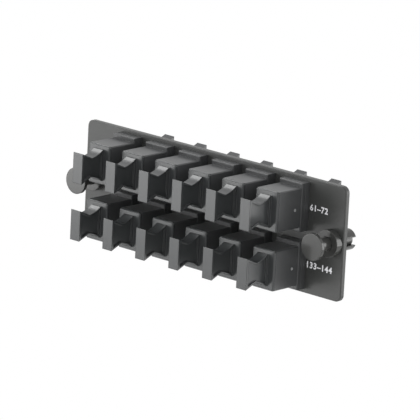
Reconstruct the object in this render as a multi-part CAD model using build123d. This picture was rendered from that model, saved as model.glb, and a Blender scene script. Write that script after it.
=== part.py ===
from build123d import *
from build123d.topology import SkipClean
import os

# A fibre adapter panel: a sheet-steel plate with twelve multi-fibre adapters in
# two rows of six, a dust cap in each end of every adapter, and a push-pull
# latch at each end of the plate. All sizes are in millimetres.
# The origin is the middle of the plate's rear face. X runs along the plate,
# Z is up, and the front of the panel faces -Y.

# Plate
PANEL_LENGTH = 112.0
PANEL_HEIGHT = 36.8
PANEL_THICKNESS = 1.6
PANEL_CORNER_RADIUS = 2.2
PANEL_EDGE_BREAK = 0.25
RAIL_WIDTH = 12.0

# Adapter pattern on the plate
COLUMNS = 6
COLUMN_PITCH = 14.5
ROW_PITCH = 18.7

# Adapter housing, outside
BODY_WIDTH = 9.3
BODY_HEIGHT = 12.8
BODY_CORNER = 0.3
CUTOUT_CLEARANCE = 0.1
FRONT_BODY_LENGTH = 10.1
REAR_BODY_LENGTH = 5.9
FLANGE_DEPTH = 3.6
FLANGE_SPLIT = 2.0
FLANGE_SIDE_STEP = 0.15
FLANGE_END_STEP = 1.35
FLANGE_CHAMFER = 0.25
JOINT_BREAK = 0.12

# Adapter housing, inside
SIDE_WALL = 0.8
END_WALL = 0.8
DIAPHRAGM_THICKNESS = 1.2
WINDOW_WIDTH = 3.0
WINDOW_HEIGHT = 6.9
KEYWAY_WIDTH = 2.7
KEYWAY_DEPTH = 0.4
HOOK_WIDTH = 3.0
HOOK_THICKNESS = 0.8
HOOK_END_GAP = 0.6
HOOK_BARB = 0.35
HOOK_TO_PLUG_GAP = 0.4

# Retention clip round the rear half
CLIP_THICKNESS = 0.3
CLIP_SET = 0.05
CLIP_LENGTH = 3.0
CLIP_END_PLAY = 0.1
CLIP_SEAT_SETBACK = 0.3
CLIP_ARM_STOP = 1.0
TANG_WIDTH = 5.0
TANG_RISE = 0.75
TANG_PANEL_GAP = 0.1

# Dust cap
CAP_FLANGE_THICKNESS = 0.8
CAP_FLANGE_LIP = 0.05
CAP_CORNER = 0.5
CAP_EDGE = 0.35
GRIP_WIDTH = 4.1
GRIP_LENGTH = 9.6
GRIP_TIP_HEIGHT = 10.0
GRIP_WAIST = 5.2
GRIP_WAIST_HEIGHT = 6.2
GRIP_FLARE = 2.4
GRIP_FLARE_HEIGHT = 7.9
GRIP_ROOT_HEIGHT = 10.2
SCOOP_ROOT = 0.45
POCKET_DEPTH = 0.6
POCKET_RIM = 0.5
POCKET_FRONT_RIM = 0.9
POCKET_ROOT = 0.8
PLUG_CLEARANCE = 0.1
PLUG_DEPTH = 3.6

# Push-pull latch: a split grommet and its plunger
LATCH_SETBACK = 4.7
SHANK_RADIUS = 3.4
SHANK_CLEARANCE = 0.05
SHANK_LENGTH = 6.0
GROMMET_FLANGE_RADIUS = 4.35
GROMMET_FLANGE_THICKNESS = 2.5
SLOT_WIDTH = 2.6
SLOT_SETBACK = 0.4
PLUNGER_RADIUS = 2.1
PLUNGER_CLEARANCE = 0.08
PLUNGER_HEAD_RADIUS = 4.3
PLUNGER_HEAD_THICKNESS = 1.1
PLUNGER_TIP_SETBACK = 0.3
PLUNGER_TRAVEL = 5.5
PLUNGER_STOP_GAP = 0.3

# Sizes that follow from the ones above
PANEL_FRONT = -PANEL_THICKNESS
LATCH_X = PANEL_LENGTH / 2 - LATCH_SETBACK
FLANGE_WIDTH = BODY_WIDTH + 2 * FLANGE_SIDE_STEP
FLANGE_HEIGHT = BODY_HEIGHT + 2 * FLANGE_END_STEP
SPLIT_Y = PANEL_FRONT - FLANGE_SPLIT
PORT_WIDTH = BODY_WIDTH - 2 * SIDE_WALL
PORT_HEIGHT = BODY_HEIGHT - 2 * END_WALL
CLIP_GROOVE = CLIP_THICKNESS + CLIP_SET
CAP_WIDTH = BODY_WIDTH
CAP_HEIGHT = BODY_HEIGHT + 2 * CAP_FLANGE_LIP


def slab(width, height, start, length, corner=0.0):
    """A block with its section in X and Z, reaching from Y = -start towards -Y."""
    section = Rectangle(width, height)
    if corner > 0:
        section = chamfer(section.vertices(), corner)
    return Pos(0, -start, 0) * extrude(Plane.XZ * section, amount=length)


def column_x(column):
    """The X of a column's centre, counted from 0 at the left."""
    return (column - (COLUMNS - 1) / 2) * COLUMN_PITCH


# The plate, with its corners rounded, its front edge broken, a cut-out for
# each adapter and a round hole for each latch. Each end, where the plate bears
# on the housing's rail, is a face of its own.
def panel_plate():
    outline = RectangleRounded(PANEL_LENGTH, PANEL_HEIGHT, PANEL_CORNER_RADIUS)
    plate = extrude(Plane.XZ * outline, amount=PANEL_THICKNESS)
    plate = chamfer(plate.faces().sort_by(Axis.Y)[0].edges(), PANEL_EDGE_BREAK)
    cut_width = BODY_WIDTH + 2 * CUTOUT_CLEARANCE
    cut_height = BODY_HEIGHT + 2 * CUTOUT_CLEARANCE
    cutout = slab(cut_width, cut_height, -PANEL_THICKNESS, 3 * PANEL_THICKNESS)
    hole = Rot(90, 0, 0) * Cylinder(SHANK_RADIUS + SHANK_CLEARANCE, 3 * PANEL_THICKNESS)
    cuts = []
    for column in range(COLUMNS):
        for side in (-1, 1):
            cuts.append(Pos(column_x(column), 0, side * ROW_PITCH / 2) * cutout)
    for side in (-1, 1):
        cuts.append(Pos(side * LATCH_X, 0, 0) * hole)
    plate = plate - cuts
    rail_x = PANEL_LENGTH / 2 - RAIL_WIDTH
    middle = Box(2 * rail_x, 3 * PANEL_THICKNESS, 2 * PANEL_HEIGHT)
    with SkipClean():
        plate = (plate - middle) + (plate & middle)
    return plate


# One moulded half of an adapter, with its joint face on Y = 0 and its mouth
# towards -Y. A diaphragm with a window for the ferrule closes the port's inner
# end, and two sprung hooks for the plug stand on it. The flange's rim is broken
# on its outer end or at the joint.
def housing_half(flange_depth, body_length, broken_end, edge_break, corner):
    total = flange_depth + body_length
    flange = slab(FLANGE_WIDTH, FLANGE_HEIGHT, 0, flange_depth)
    flange = chamfer(flange.faces().sort_by(Axis.Y)[broken_end].edges(), edge_break)
    body = slab(BODY_WIDTH, BODY_HEIGHT, 0, total, corner)
    port = slab(PORT_WIDTH, PORT_HEIGHT, DIAPHRAGM_THICKNESS, total)
    keyway = slab(2 * KEYWAY_DEPTH, KEYWAY_WIDTH, DIAPHRAGM_THICKNESS, total)
    window = slab(WINDOW_WIDTH, WINDOW_HEIGHT, -1, DIAPHRAGM_THICKNESS + 2)
    half = flange + body - port - Pos(PORT_WIDTH / 2, 0, 0) * keyway - window
    tip = total - PLUG_DEPTH - HOOK_TO_PLUG_GAP
    root = DIAPHRAGM_THICKNESS
    outer = PORT_HEIGHT / 2 - HOOK_END_GAP
    inner = outer - HOOK_THICKNESS
    barb = (-tip + 2 * HOOK_BARB, inner - HOOK_BARB)
    arm = Polyline((-root, outer), (-tip, outer), barb, (-root, inner), close=True)
    hook = extrude(Plane.YZ * make_face(arm), amount=HOOK_WIDTH / 2, both=True)
    return half + [hook, mirror(hook, Plane.XY)]


# The front half.
def front_housing():
    half = housing_half(FLANGE_DEPTH - FLANGE_SPLIT, FRONT_BODY_LENGTH, 0, FLANGE_CHAMFER, BODY_CORNER)
    return Pos(0, SPLIT_Y, 0) * half


# The rear half, turned to face +Y, with the groove that the clip sits in.
def rear_housing():
    half = housing_half(FLANGE_SPLIT, PANEL_THICKNESS + REAR_BODY_LENGTH, -1, JOINT_BREAK, 0)
    groove_length = CLIP_LENGTH + 2 * CLIP_END_PLAY
    groove = clip_band(-1, CLIP_ARM_STOP - CLIP_END_PLAY, CLIP_SEAT_SETBACK, groove_length)
    return Pos(0, SPLIT_Y, 0) * Rot(0, 0, 180) * half - groove


# A band round the top, bottom and left side of the rear half, down to the
# floor of the clip's groove. It is a given inset below the housing's outside.
def clip_band(inset, arm_stop, start, length):
    left = -BODY_WIDTH / 2 + inset
    right = BODY_WIDTH / 2 - arm_stop
    outside = Pos((left + right) / 2, 0) * Rectangle(right - left, BODY_HEIGHT - 2 * inset)
    core = Pos(CLIP_GROOVE, 0) * Rectangle(BODY_WIDTH, BODY_HEIGHT - 2 * CLIP_GROOVE)
    return Pos(0, start + length, 0) * extrude(Plane.XZ * (outside - core), amount=length)


# One retention clip: a steel strip bent round three sides of the rear half,
# with a tang on each arm that springs out behind the plate.
def retention_clip():
    start = CLIP_SEAT_SETBACK + CLIP_END_PLAY
    strip = clip_band(CLIP_SET, CLIP_ARM_STOP, start, CLIP_LENGTH)
    root_y = start + CLIP_LENGTH
    arm_z = BODY_HEIGHT / 2 - CLIP_GROOVE
    tip_z = BODY_HEIGHT / 2 + TANG_RISE
    tang_line = Polyline(
        (root_y, arm_z + CLIP_THICKNESS), (TANG_PANEL_GAP, tip_z),
        (TANG_PANEL_GAP, tip_z - CLIP_THICKNESS), (root_y - 2 * CLIP_THICKNESS, arm_z),
        close=True,
    )
    tang = extrude(Plane.YZ * make_face(tang_line), amount=TANG_WIDTH / 2, both=True)
    return strip + [tang, mirror(tang, Plane.XY)]


# A dust cap, with its seat on Y = 0: a flange the size of the adapter's mouth,
# a plug that enters the port, and a grip that is scooped out above and
# below for finger and thumb. Each scoop runs straight down from the grip's tip
# to its waist and flares out to its root in one arc. Both sides of the grip
# have a shallow pocket that follows the scoops.
def dust_cap():
    flange = slab(CAP_WIDTH, CAP_HEIGHT, 0, CAP_FLANGE_THICKNESS, CAP_CORNER)
    flange = chamfer(flange.faces().sort_by(Axis.Y)[0].edges(), CAP_EDGE)

    tip = (-GRIP_LENGTH, GRIP_TIP_HEIGHT / 2)
    waist = (-GRIP_WAIST, GRIP_WAIST_HEIGHT / 2)
    flare = (-GRIP_FLARE, GRIP_FLARE_HEIGHT / 2)
    shoulder = (-SCOOP_ROOT, GRIP_ROOT_HEIGHT / 2)
    root = (0, GRIP_ROOT_HEIGHT / 2)
    upper = Polyline((-GRIP_LENGTH, 0), tip, waist) + ThreePointArc(waist, flare, shoulder)
    upper = upper + Polyline(shoulder, root, (0, 0), (-GRIP_LENGTH, 0))
    half = extrude(Plane.YZ * make_face(upper), amount=GRIP_WIDTH / 2, both=True)
    grip = half + mirror(half, Plane.XY)

    corners = [
        (-GRIP_LENGTH + POCKET_FRONT_RIM, GRIP_TIP_HEIGHT / 2 - 2 * POCKET_RIM),
        (-GRIP_WAIST, GRIP_WAIST_HEIGHT / 2 - POCKET_RIM),
        (-POCKET_ROOT, GRIP_ROOT_HEIGHT / 2 - 2 * POCKET_RIM),
    ]
    outline = corners + [(y, -z) for y, z in reversed(corners)]
    field = Plane.YZ * make_face(Polyline(*outline, close=True))
    pocket = Pos(GRIP_WIDTH / 2 - POCKET_DEPTH, 0, 0) * extrude(field, amount=POCKET_DEPTH)
    grip = grip - [pocket, mirror(pocket, Plane.YZ)]

    plug_width = PORT_WIDTH - 2 * PLUG_CLEARANCE
    plug_height = PORT_HEIGHT - 2 * PLUG_CLEARANCE
    plug = slab(plug_width, plug_height, -PLUG_DEPTH, PLUG_DEPTH)
    return flange + Pos(0, -CAP_FLANGE_THICKNESS, 0) * grip + plug


# The grommet of a latch, turned about Y: a thick flange, and a shank that is
# sawn into an upper and a lower prong.
def latch_grommet():
    front = PANEL_FRONT - GROMMET_FLANGE_THICKNESS
    bore = PLUNGER_RADIUS + PLUNGER_CLEARANCE
    half_section = Polyline(
        (bore, front), (GROMMET_FLANGE_RADIUS, front), (GROMMET_FLANGE_RADIUS, PANEL_FRONT),
        (SHANK_RADIUS, PANEL_FRONT), (SHANK_RADIUS, SHANK_LENGTH), (bore, SHANK_LENGTH),
        close=True,
    )
    grommet = revolve(make_face(half_section), axis=Axis.Y)
    slot = Pos(0, SLOT_SETBACK, 0) * Box(
        3 * SHANK_RADIUS, 2 * SHANK_LENGTH, SLOT_WIDTH, align=(Align.CENTER, Align.MIN, Align.CENTER)
    )
    return grommet - slot


# The plunger of a latch in its pulled-out place: a flat round head on a plain
# shank that spreads the prongs when it is pushed in.
def latch_plunger():
    head_rear = PANEL_FRONT - GROMMET_FLANGE_THICKNESS - PLUNGER_STOP_GAP - PLUNGER_TRAVEL
    head_front = head_rear - PLUNGER_HEAD_THICKNESS
    tip = SHANK_LENGTH - PLUNGER_TIP_SETBACK
    half_section = Polyline(
        (0, head_front), (PLUNGER_HEAD_RADIUS, head_front), (PLUNGER_HEAD_RADIUS, head_rear),
        (PLUNGER_RADIUS, head_rear), (PLUNGER_RADIUS, tip), (0, tip),
        close=True,
    )
    return revolve(make_face(half_section), axis=Axis.Y)


parts = {"panel_plate": panel_plate()}

grommet = latch_grommet()
plunger = latch_plunger()
grommets = []
for side, name in ((-1, "left"), (1, "right")):
    place = Pos(side * LATCH_X, 0, 0)
    grommets.append(place * grommet)
    parts["latch_plunger_" + name] = place * plunger
parts["latch_grommets"] = Compound(children=grommets)

front_half = front_housing()
rear_half = rear_housing()
clip = retention_clip()
front_cap = Pos(0, PANEL_FRONT - FLANGE_DEPTH - FRONT_BODY_LENGTH, 0) * dust_cap()
rear_cap = Pos(0, REAR_BODY_LENGTH, 0) * Rot(0, 0, 180) * dust_cap()
clips = []
for side, row in ((1, "upper"), (-1, "lower")):
    for column in range(COLUMNS):
        place = Pos(column_x(column), 0, side * ROW_PITCH / 2)
        label = "_" + row + "_" + str(column + 1)
        parts["front_housing" + label] = place * front_half
        parts["rear_housing" + label] = place * rear_half
        parts["front_dust_cap" + label] = place * front_cap
        parts["rear_dust_cap" + label] = place * rear_cap
        clips.append(place * clip)
parts["retention_clips"] = Compound(children=clips)

os.makedirs("parts", exist_ok=True)
for name, shape in parts.items():
    export_step(shape, "parts/" + name + ".step")
    print(name, round(shape.volume, 2))
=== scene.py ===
# %% [markdown]
# # A fibre adapter panel in black steel and black plastic
# The solids of this panel come ready from its CAD model, one mesh for each real
# piece: the plate, the adapter halves, the dust caps, the two latches and the
# steel clips. This lesson lights them, gives each finish a procedural material
# and prints the fibre numbers on the plate. Everything is in metres, with the
# origin in the middle of the plate's rear face and the front facing -Y.

# %% Load the frame
import math

import bmesh
import bpy
from mathutils import Matrix, Vector


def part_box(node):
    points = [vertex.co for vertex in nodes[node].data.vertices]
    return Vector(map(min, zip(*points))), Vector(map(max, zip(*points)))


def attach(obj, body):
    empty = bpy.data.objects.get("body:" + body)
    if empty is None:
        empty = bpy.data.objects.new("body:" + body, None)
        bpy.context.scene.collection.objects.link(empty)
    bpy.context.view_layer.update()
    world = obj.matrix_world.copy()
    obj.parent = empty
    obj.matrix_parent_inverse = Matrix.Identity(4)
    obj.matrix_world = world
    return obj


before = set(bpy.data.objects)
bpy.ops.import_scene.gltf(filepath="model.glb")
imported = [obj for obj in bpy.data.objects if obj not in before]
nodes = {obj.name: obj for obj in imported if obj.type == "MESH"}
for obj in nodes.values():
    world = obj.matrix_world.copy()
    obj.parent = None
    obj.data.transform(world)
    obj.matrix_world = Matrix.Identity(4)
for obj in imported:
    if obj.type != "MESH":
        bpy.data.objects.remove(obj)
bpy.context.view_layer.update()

# %% [markdown]
# ## The camera
# The photograph looks at the panel from its front right and a little from
# above, through a long lens, so that parallel edges hardly close up. A camera is
# easiest to place by its azimuth, its elevation and its distance. It looks at
# the origin, and a small roll turns it about its own axis. The lens follows from
# how many millimetres of the panel fill the picture, and a slight shift puts the
# panel where it lies in the frame.

# %% Place the camera
AZIMUTH = math.radians(42.5)
ELEVATION = math.radians(14.2)
ROLL = math.radians(2.9)
DISTANCE = 1.353
FRAME_PIXELS = 420
PIXELS_PER_METRE = 3155
ORIGIN_PIXEL = (214.5, 208.1)
SENSOR = 36.0
FAR_CLIP = 20

out = Vector((
    math.sin(AZIMUTH) * math.cos(ELEVATION),
    -math.cos(AZIMUTH) * math.cos(ELEVATION),
    math.sin(ELEVATION),
))
lens = bpy.data.cameras.new("photo_view")
lens.sensor_width = SENSOR
lens.lens = SENSOR * PIXELS_PER_METRE * DISTANCE / FRAME_PIXELS
lens.shift_x = (FRAME_PIXELS / 2 - ORIGIN_PIXEL[0]) / FRAME_PIXELS
lens.shift_y = (ORIGIN_PIXEL[1] - FRAME_PIXELS / 2) / FRAME_PIXELS
lens.clip_end = FAR_CLIP
camera = bpy.data.objects.new("photo_view", lens)
bpy.context.collection.objects.link(camera)
look = (-out).to_track_quat("-Z", "Y").to_matrix().to_4x4()
camera.matrix_world = Matrix.Translation(out * DISTANCE) @ look @ Matrix.Rotation(ROLL, 4, "Z")
bpy.context.scene.camera = camera
bpy.context.scene.view_settings.view_transform = "Standard"
print("lens in mm:", round(lens.lens, 1))

# %% [markdown]
# ## Helpers for materials
# A hex colour is written in sRGB, as a paint chart gives it, but a shader works
# in linear light, so one function turns it. A second small function adds a node
# to a material with its settings and its links, which keeps the recipes short.
# The last one tells rays that see a surface straight, or in a mirroring skin,
# from rays that only carry light. The floor and the room use it, to be pure
# white where they are seen.

# %% Colour and node helpers
MM = 0.001


def linear(hex_colour):
    """The linear colour of an sRGB hex value such as '383938'."""
    values = [int(hex_colour[i:i + 2], 16) / 255 for i in (0, 2, 4)]
    values = [v / 12.92 if v <= 0.04045 else ((v + 0.055) / 1.055) ** 2.4 for v in values]
    return (*values, 1.0)


def add(tree, kind, settings=None, links=None):
    """A new node: settings by name or input, and links from input to a socket."""
    node = tree.nodes.new(kind)
    for key, value in (settings or {}).items():
        if hasattr(node, key):
            setattr(node, key, value)
        else:
            node.inputs[key].default_value = value
    for key, socket in (links or {}).items():
        tree.links.new(socket, node.inputs[key])
    return node


def blank(name):
    """An empty material and its node tree, with the object's coordinates."""
    material = bpy.data.materials.new(name)
    material.use_nodes = True
    material.node_tree.nodes.clear()
    place = add(material.node_tree, "ShaderNodeTexCoord")
    return material, material.node_tree, place.outputs["Object"]


def finish_material(tree, shader):
    """Put a shader on the material's output."""
    add(tree, "ShaderNodeOutputMaterial", links={"Surface": shader.outputs[0]})


def soft_edges(tree, radius_mm):
    """A normal that rolls over the sharp edges of a solid, for highlights there."""
    return add(tree, "ShaderNodeBevel", {"samples": 6, "Radius": radius_mm * MM}).outputs["Normal"]


def seen_straight(tree):
    """1 for a ray from the camera, from a mirroring skin or through glass, else 0."""
    ray = add(tree, "ShaderNodeLightPath")
    straight = add(tree, "ShaderNodeMath", {"operation": "MAXIMUM"})
    tree.links.new(ray.outputs["Is Camera Ray"], straight.inputs[0])
    tree.links.new(ray.outputs["Is Glossy Ray"], straight.inputs[1])
    seen = add(tree, "ShaderNodeMath", {"operation": "MAXIMUM"})
    tree.links.new(straight.outputs[0], seen.inputs[0])
    tree.links.new(ray.outputs["Is Transmission Ray"], seen.inputs[1])
    return seen.outputs[0]


print("black coat in linear light:", [round(v, 4) for v in linear("383938")[:3]])

# %% [markdown]
# ## Powder-coated steel
# The plate is cold-rolled sheet steel with a black powder coat. The powder melts
# and flows into a skin with a fine orange peel, so the coat is satin: its
# reflections are wide and a little uneven. Noise at about 0.6 mm, drawn coarser
# than the real 0.3 mm peel so that it shows, drives both the bump and the
# roughness. A slower noise shifts the tone by a few percent, as coats do. The
# coat also pulls back from sharp edges into a small roll, which the Bevel node
# gives to the shading. It comes on top of the chamfer that the solid has.

# %% Powder coat
def powder_coated_steel():
    material, tree, place = blank("powder_coated_steel")
    peel = add(tree, "ShaderNodeTexNoise",
               {"Scale": 1 / (0.6 * MM), "Detail": 3.0, "Roughness": 0.6}, {"Vector": place})
    drift = add(tree, "ShaderNodeTexNoise", {"Scale": 1 / (22 * MM), "Detail": 2.0}, {"Vector": place})
    tone = add(tree, "ShaderNodeMix", {"data_type": "RGBA"}, {"Factor": drift.outputs["Fac"]})
    tone.inputs["A"].default_value = linear("383938")
    tone.inputs["B"].default_value = linear("424342")
    rough = add(tree, "ShaderNodeMapRange", {"To Min": 0.34, "To Max": 0.44},
                {"Value": peel.outputs["Fac"]})
    bump = add(tree, "ShaderNodeBump", {"Strength": 0.2, "Distance": 0.02 * MM},
               {"Height": peel.outputs["Fac"], "Normal": soft_edges(tree, 0.25)})
    coat = add(tree, "ShaderNodeBsdfPrincipled", {"IOR": 1.45}, {
        "Base Color": tone.outputs["Result"],
        "Roughness": rough.outputs["Result"],
        "Normal": bump.outputs["Normal"],
    })
    finish_material(tree, coat)
    return material


plate_finish = powder_coated_steel()
print("made", plate_finish.name)

# %% [markdown]
# ## Moulded plastics
# The adapter halves, the dust caps and the latches are injection mouldings in
# black. They differ in resin and in how the steel of the mould was finished.
# The adapters are a stiff polyester with a lightly sparked skin, the caps are a
# softer polypropylene from a polished mould, and the latches are nylon. One
# recipe serves all three: a base colour with a slow drift, a fine grain in the
# bump, and a roughness that the grain moves a little. The grain is drawn out
# along Z where the mould was stoned upright, which leaves faint upright lines on
# the ends of the cap grips. No mould has a perfectly sharp corner, so the Bevel
# node rolls the edges over by a few tenths. The same recipe in a paler tone
# gives the cut stubs of the moulds' gates.

# %% Moulded plastics
def moulded_plastic(name, dark, light, smooth, dull, grain_mm, depth_mm, ior, edge_mm, draw=1.0):
    material, tree, place = blank(name)
    upright = add(tree, "ShaderNodeMapping", {"Scale": (1.0, 1.0, 1 / draw)}, {"Vector": place})
    grain = add(tree, "ShaderNodeTexNoise", {"Scale": 1 / (grain_mm * MM), "Detail": 2.0},
                {"Vector": upright.outputs["Vector"]})
    drift = add(tree, "ShaderNodeTexNoise", {"Scale": 1 / (9 * MM), "Detail": 2.0}, {"Vector": place})
    tone = add(tree, "ShaderNodeMix", {"data_type": "RGBA"}, {"Factor": drift.outputs["Fac"]})
    tone.inputs["A"].default_value = linear(dark)
    tone.inputs["B"].default_value = linear(light)
    rough = add(tree, "ShaderNodeMapRange", {"To Min": smooth, "To Max": dull},
                {"Value": grain.outputs["Fac"]})
    bump = add(tree, "ShaderNodeBump", {"Strength": 0.15, "Distance": depth_mm * MM},
               {"Height": grain.outputs["Fac"], "Normal": soft_edges(tree, edge_mm)})
    skin = add(tree, "ShaderNodeBsdfPrincipled", {"IOR": ior}, {
        "Base Color": tone.outputs["Result"],
        "Roughness": rough.outputs["Result"],
        "Normal": bump.outputs["Normal"],
    })
    finish_material(tree, skin)
    return material


adapter_finish = moulded_plastic(
    "sparked_polyester", dark="3f4041", light="48494a", smooth=0.27, dull=0.35,
    grain_mm=0.5, depth_mm=0.01, ior=1.42, edge_mm=0.15)
cap_finish = moulded_plastic(
    "stoned_polypropylene", dark="37393a", light="3f4142", smooth=0.18, dull=0.28,
    grain_mm=0.45, depth_mm=0.03, ior=1.51, edge_mm=0.25, draw=14.0)
latch_finish = moulded_plastic(
    "polished_nylon", dark="363736", light="424241", smooth=0.1, dull=0.17,
    grain_mm=0.6, depth_mm=0.006, ior=1.46, edge_mm=0.3)
gate_finish = moulded_plastic(
    "cut_gate_stub", dark="848586", light="949596", smooth=0.35, dull=0.5,
    grain_mm=0.2, depth_mm=0.01, ior=1.5, edge_mm=0.05)
print("made", adapter_finish.name, cap_finish.name, latch_finish.name, gate_finish.name)

# %% [markdown]
# ## Spring steel
# The clips behind the plate are cut from rolled spring steel strip and left
# bare. Rolling leaves fine lines along the strip, so a noise that is stretched
# along the plate gives streaks in the roughness.

# %% Spring steel
def spring_steel_strip():
    material, tree, place = blank("spring_steel_strip")
    along = add(tree, "ShaderNodeMapping", {"Scale": (0.15, 1.0, 1.0)}, {"Vector": place})
    lines = add(tree, "ShaderNodeTexNoise", {"Scale": 1 / (0.25 * MM), "Detail": 3.0},
                {"Vector": along.outputs["Vector"]})
    rough = add(tree, "ShaderNodeMapRange", {"To Min": 0.25, "To Max": 0.42},
                {"Value": lines.outputs["Fac"]})
    tone = add(tree, "ShaderNodeMix", {"data_type": "RGBA"}, {"Factor": lines.outputs["Fac"]})
    tone.inputs["A"].default_value = linear("a9aaab")
    tone.inputs["B"].default_value = linear("c2c3c4")
    steel = add(tree, "ShaderNodeBsdfPrincipled", {"Metallic": 1.0}, {
        "Base Color": tone.outputs["Result"], "Roughness": rough.outputs["Result"],
    })
    finish_material(tree, steel)
    return material


clip_finish = spring_steel_strip()
print("made", clip_finish.name)

# %% [markdown]
# ## Dressing the solids
# Each solid already has one material slot. The name of a node says which finish
# it takes, so a short table of words is enough.

# %% Give every solid its finish
FINISHES = {
    "plate": plate_finish,
    "housing": adapter_finish,
    "cap": cap_finish,
    "latch": latch_finish,
    "clips": clip_finish,
}
dressed = 0
for name, solid in nodes.items():
    for word, finish in FINISHES.items():
        if word in name:
            solid.data.materials.clear()
            solid.data.materials.append(finish)
            dressed += 1
            break
print("dressed", dressed, "solids")

# %% [markdown]
# ## The printed fibre numbers
# To the right of each row the plate carries the range of fibres that ends
# there, screen printed in white. Screen ink is a film a few hundredths of a
# millimetre thick, so the digits are real raised shapes: a text curve is
# extruded, turned to stand on the plate's front, made a mesh and then placed,
# so that its object stays at the origin. Ink spreads a little past the stencil,
# so the curve's offset makes each stroke bolder.

# %% White ink
def screen_ink():
    material, tree, place = blank("white_screen_ink")
    speckle = add(tree, "ShaderNodeTexNoise", {"Scale": 1 / (0.3 * MM), "Detail": 2.0},
                  {"Vector": place})
    tone = add(tree, "ShaderNodeMix", {"data_type": "RGBA"}, {"Factor": speckle.outputs["Fac"]})
    tone.inputs["A"].default_value = linear("f2f2f8")
    tone.inputs["B"].default_value = linear("fcfcff")
    ink = add(tree, "ShaderNodeBsdfPrincipled", {"Roughness": 0.5, "IOR": 1.5},
              {"Base Color": tone.outputs["Result"]})
    finish_material(tree, ink)
    return material


ink_finish = screen_ink()
PLATE_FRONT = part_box("panel_plate")[0][1]
PRINT_LEFT = 41.6 * MM
UPPER_WIDTH = 7.4 * MM
UPPER_BASELINE = 8.25 * MM
LOWER_WIDTH = 10.4 * MM
LOWER_BASELINE = -10.05 * MM
DIGIT_HEIGHT = 2.1 * MM
DIGIT_SPACING = 1.14
HALF_DEPTH = 0.5
INK_FILM = 0.03 * MM
INK_SPREAD = 0.03


def printed_range(name, words, width, baseline):
    """Digits on the plate's front, made to a width, on a baseline."""
    curve = bpy.data.curves.new(name, "FONT")
    curve.body = words
    curve.extrude = HALF_DEPTH
    curve.offset = INK_SPREAD
    curve.space_character = DIGIT_SPACING
    curve.resolution_u = 3
    text = bpy.data.objects.new(name, curve)
    bpy.context.collection.objects.link(text)
    bpy.context.view_layer.update()
    shaped = text.evaluated_get(bpy.context.evaluated_depsgraph_get())
    mesh = bpy.data.meshes.new_from_object(shaped)
    bpy.data.objects.remove(text)
    xs = [v.co.x for v in mesh.vertices]
    ys = [v.co.y for v in mesh.vertices]
    grow_x = width / (max(xs) - min(xs))
    grow_y = DIGIT_HEIGHT / (max(ys) - min(ys))
    place = (
        Matrix.Translation((PRINT_LEFT, PLATE_FRONT, baseline))
        @ Matrix.Rotation(math.radians(90), 4, "X")
        @ Matrix.Diagonal((grow_x, grow_y, INK_FILM, 1))
        @ Matrix.Translation((-min(xs), -min(ys), HALF_DEPTH))
    )
    mesh.transform(place)
    piece = bpy.data.objects.new(name, mesh)
    bpy.context.collection.objects.link(piece)
    piece.data.materials.clear()
    piece.data.materials.append(ink_finish)
    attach(piece, "panel")
    return piece


upper_print = printed_range("printed_range_upper", "61\u201372", UPPER_WIDTH, UPPER_BASELINE)
lower_print = printed_range("printed_range_lower", "133\u2013144", LOWER_WIDTH, LOWER_BASELINE)
print("printed", upper_print.name, lower_print.name)

# %% [markdown]
# ## Gate marks
# Molten plastic enters a mould through a small gate. Where it is cut off, a round
# mark stays: here a low button on the right side of each front half. The cut
# strains the plastic there and turns it pale, so the buttons have a lighter
# finish than the skin round them. A short cone has the shape of such a button,
# and one mesh holds all twelve, so that they are a single piece.

# %% Buttons left by the mould's gates
GATE_RADIUS = 0.5 * MM
GATE_TAPER = 0.85
GATE_SIDES = 14
GATE_HEIGHT = 0.12 * MM
GATE_Y = -7.8 * MM
GATE_DROP = 0.35 * MM
FLANGE_SIDE_STEP = 0.15 * MM


def gate_marks():
    mesh = bpy.data.meshes.new("gate_marks")
    shape = bmesh.new()
    for name in nodes:
        if not name.startswith("front_housing"):
            continue
        low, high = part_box(name)
        body_right = high[0] - FLANGE_SIDE_STEP
        height = (low[2] + high[2]) / 2 - GATE_DROP
        made = bmesh.ops.create_cone(
            shape, cap_ends=True, segments=GATE_SIDES, depth=GATE_HEIGHT,
            radius1=GATE_RADIUS, radius2=GATE_TAPER * GATE_RADIUS,
        )
        turn = Matrix.Rotation(math.radians(90), 4, "Y")
        place = Matrix.Translation((body_right + GATE_HEIGHT / 2, GATE_Y, height)) @ turn
        bmesh.ops.transform(shape, matrix=place, verts=made["verts"])
    bmesh.ops.recalc_face_normals(shape, faces=shape.faces)
    shape.to_mesh(mesh)
    shape.free()
    piece = bpy.data.objects.new("gate_marks", mesh)
    bpy.context.collection.objects.link(piece)
    piece.data.materials.append(gate_finish)
    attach(piece, "panel")
    return piece


marks = gate_marks()
print("gate mark faces:", len(marks.data.polygons))

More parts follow.
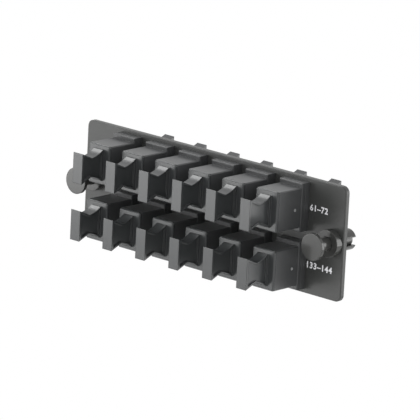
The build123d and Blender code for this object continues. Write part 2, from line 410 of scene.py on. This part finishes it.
# %% [markdown]
# ## Floor and light
# Black plastic shows its form by what it mirrors. One large soft light stands
# to the front left, where the flat ends of the cap grips mirror it. Another
# hangs above to the left for the tops, and a third stands behind to the right,
# for the plate's right edge and the latch prongs. The floor and the room are
# white to the camera and in reflections, which gives the plain background.

# %% Floor
FLOOR_SIZE = 12
FLOOR_LEVEL = -0.3

bpy.ops.mesh.primitive_plane_add(size=FLOOR_SIZE, location=(0, 0, FLOOR_LEVEL))
floor = bpy.context.object
floor.name = "floor"
floor_material, tree, place = blank("white_floor")
matt = add(tree, "ShaderNodeBsdfDiffuse", {"Color": linear("f2f2f0")})
bright = add(tree, "ShaderNodeEmission", {"Color": (1, 1, 1, 1), "Strength": 1.0})
mix = add(tree, "ShaderNodeMixShader")
tree.links.new(seen_straight(tree), mix.inputs[0])
tree.links.new(matt.outputs[0], mix.inputs[1])
tree.links.new(bright.outputs[0], mix.inputs[2])
finish_material(tree, mix)
floor.data.materials.append(floor_material)
print("floor at", floor.location.z)

# %% World and lamps
world = bpy.data.worlds.new("white_room")
bpy.context.scene.world = world
world.use_nodes = True
tree = world.node_tree
tree.nodes.clear()
level = add(tree, "ShaderNodeMapRange", {"To Min": 0.9, "To Max": 1.0},
            {"Value": seen_straight(tree)})
sky = add(tree, "ShaderNodeBackground", {"Color": (1, 1, 1, 1)}, {"Strength": level.outputs["Result"]})
add(tree, "ShaderNodeOutputWorld", links={"Surface": sky.outputs[0]})


def soft_light(name, place, size, watts):
    """A square soft light that faces the origin."""
    data = bpy.data.lights.new(name, "AREA")
    data.shape = "SQUARE"
    data.size = size
    data.energy = watts
    lamp = bpy.data.objects.new(name, data)
    bpy.context.collection.objects.link(lamp)
    turn = (-Vector(place)).to_track_quat("-Z", "Y").to_matrix().to_4x4()
    lamp.matrix_world = Matrix.Translation(place) @ turn
    return lamp


soft_light("front_left_light", (-0.57, -0.73, 0.02), 0.5, 3.4)
soft_light("upper_left_light", (-0.62, -0.02, 0.72), 0.36, 2.2)
soft_light("right_rear_light", (0.66, 0.64, 0.06), 0.6, 3.8)
